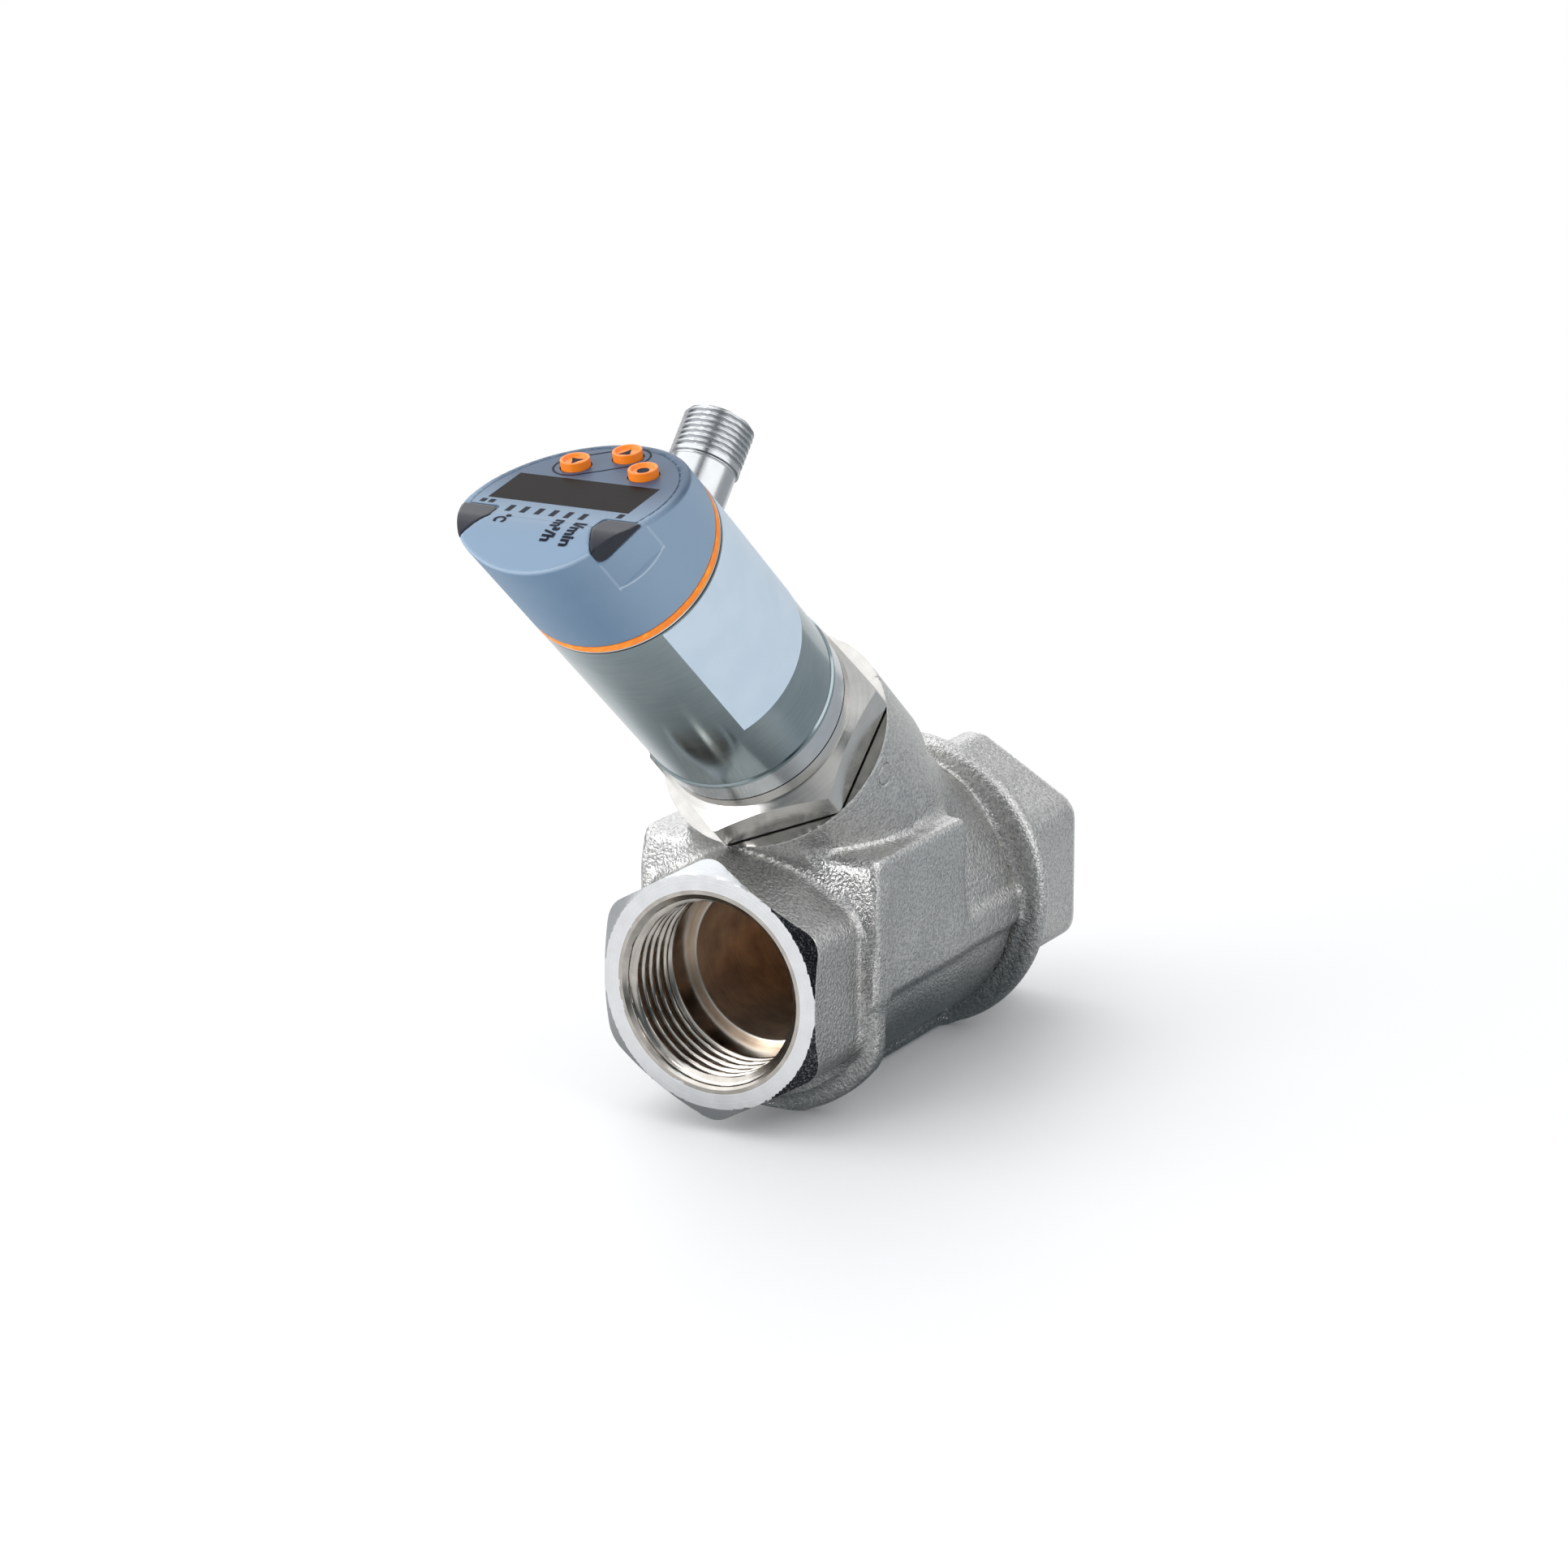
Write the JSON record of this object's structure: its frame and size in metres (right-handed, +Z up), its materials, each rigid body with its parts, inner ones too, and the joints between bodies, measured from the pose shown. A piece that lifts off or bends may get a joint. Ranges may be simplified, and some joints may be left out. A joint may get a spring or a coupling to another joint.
{
  "type": "mechatronic flow sensor",
  "caption": "Y-shaped pipe body with screw-thread ports, a leaning steel can with a side plug, and a sloped display head with push buttons.",
  "frame": {"origin": "centre of the inlet port's face, on the pipe's axis", "axes": "+Y out of the inlet port along the pipe, so flow runs towards -Y; +Z up, on the side that the branch leans over; +X to the right seen from the outlet"},
  "size_m": [0.0546, 0.15, 0.1253],
  "materials": {
    "nickel_casting": "bright nickel plate on cast brass, sand-grain skin, machined faces",
    "nickel_turned": "turned and nickel plated",
    "seal_rubber": "black elastomer",
    "spring_steel": "rolled spring steel",
    "piston_brass": "turned brass",
    "magnet": "sintered magnet",
    "steel_turned": "turned stainless steel",
    "steel_drawn": "polished drawn stainless steel",
    "label_film": "pale blue printed film",
    "plug_nickel": "turned, nickel plated",
    "plug_plastic": "pale moulded plastic",
    "pin_gold": "gold plated",
    "board": "green solder resist",
    "chip_black": "moulded package",
    "head_plastic": "blue-grey moulded plastic",
    "foil": "blue-grey fine-grained foil",
    "lamp_smoke": "smoked clear plastic",
    "orange_rubber": "orange seal",
    "window_smoke": "dark display window",
    "screen_black": "segment display block",
    "orange_key": "orange moulded key",
    "lamp_chip": "small light sources"
  },
  "bodies": {
    "valve": {"valve_body": "nickel_casting", "screw_base": "nickel_turned", "base_seal": "seal_rubber", "swivel_seal": "seal_rubber", "swivel_clip": "spring_steel"},
    "piston": {"piston": "piston_brass", "piston_seal": "seal_rubber", "piston_magnet": "magnet", "piston_spring": "spring_steel"},
    "housing": {"can_foot": "steel_turned", "can": "steel_drawn", "type_label": "label_film", "plug_shell": "plug_nickel", "plug_insert": "plug_plastic", "plug_pins": "pin_gold", "main_board": "board", "field_sensor": "chip_black", "board_chips": "chip_black"},
    "head": {"head_cap": "head_plastic", "face_foil": "foil", "lamp_right": "lamp_smoke", "lamp_left": "lamp_smoke", "head_ring": "orange_rubber", "display_window": "window_smoke", "screen": "screen_black", "screen_board": "board", "button_switches": "chip_black", "lamp_chips": "lamp_chip"},
    "up_button": {"button_up": "orange_key"},
    "down_button": {"button_down": "orange_key"},
    "enter_button": {"button_enter": "orange_key"}
  },
  "joints": [
    {"name": "piston_lift", "type": "slide", "parent": "valve", "child": "piston", "axis": [0, -0.757, 0.6534], "range_m": [0, 0.013], "stiffness_N_per_m": 90, "springref_m": -0.006, "deforming": ["piston_spring"]},
    {"name": "housing_swivel", "type": "hinge", "parent": "valve", "child": "housing", "pos_m": [0, -0.08428, 0.04901], "axis": [0, -0.757, 0.6534], "range_deg": [-172.5, 172.5]},
    {"name": "head_turn", "type": "hinge", "parent": "housing", "child": "head", "pos_m": [0, -0.11985, 0.07972], "axis": [0, -0.757, 0.6534], "range_deg": [-172.5, 172.5]},
    {"name": "press_up", "type": "slide", "parent": "head", "child": "up_button", "axis": [0, 0.2164, -0.9763], "range_m": [0, 0.0004], "stiffness_N_per_m": 2000, "springref_m": -0.0002},
    {"name": "press_down", "type": "slide", "parent": "head", "child": "down_button", "axis": [0, 0.2164, -0.9763], "range_m": [0, 0.0004], "stiffness_N_per_m": 2000, "springref_m": -0.0002},
    {"name": "press_enter", "type": "slide", "parent": "head", "child": "enter_button", "axis": [0, 0.2164, -0.9763], "range_m": [0, 0.0004], "stiffness_N_per_m": 2000, "springref_m": -0.0002}
  ]
}
